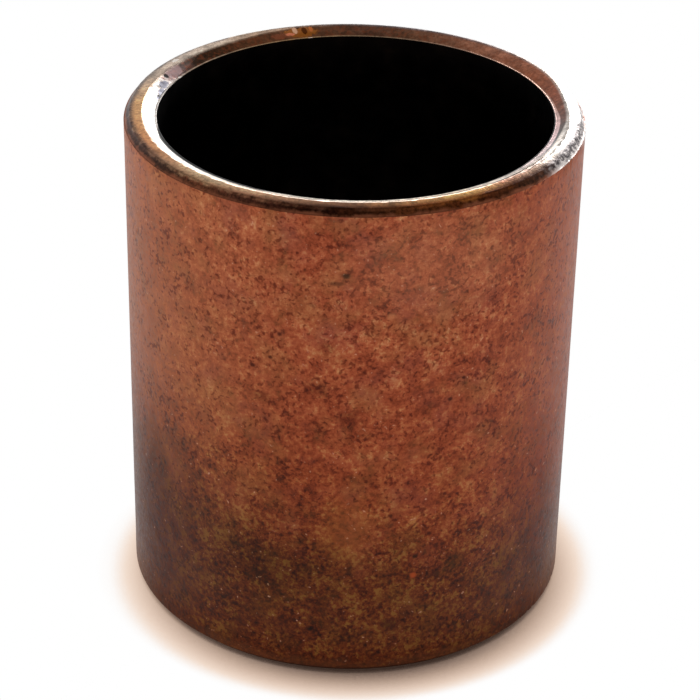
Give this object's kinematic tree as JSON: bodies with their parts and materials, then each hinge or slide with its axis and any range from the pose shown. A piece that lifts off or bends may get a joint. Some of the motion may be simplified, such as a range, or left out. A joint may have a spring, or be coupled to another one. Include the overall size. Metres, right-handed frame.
{
  "type": "plain sleeve bushing",
  "caption": "Plain round sleeve with a smooth bore, open at both ends, with chamfered corners inside and out. Sintered bronze soaked with oil.",
  "frame": {"origin": "centre of the lower end face, on the sleeve's axis", "axes": "+Z along the sleeve's axis, up from the end it stands on; the section is round, so X and Y are free, and +Y points away from the viewer of the picture"},
  "size_m": [0.0222, 0.0222, 0.0254],
  "materials": {
    "sintered_bronze": "as sized after sintering, porous and oily, tarnished brown on the outside, worn brighter on the end face and the bore's lead"
  },
  "bodies": {
    "root": {"sleeve": "sintered_bronze"}
  },
  "joints": []
}
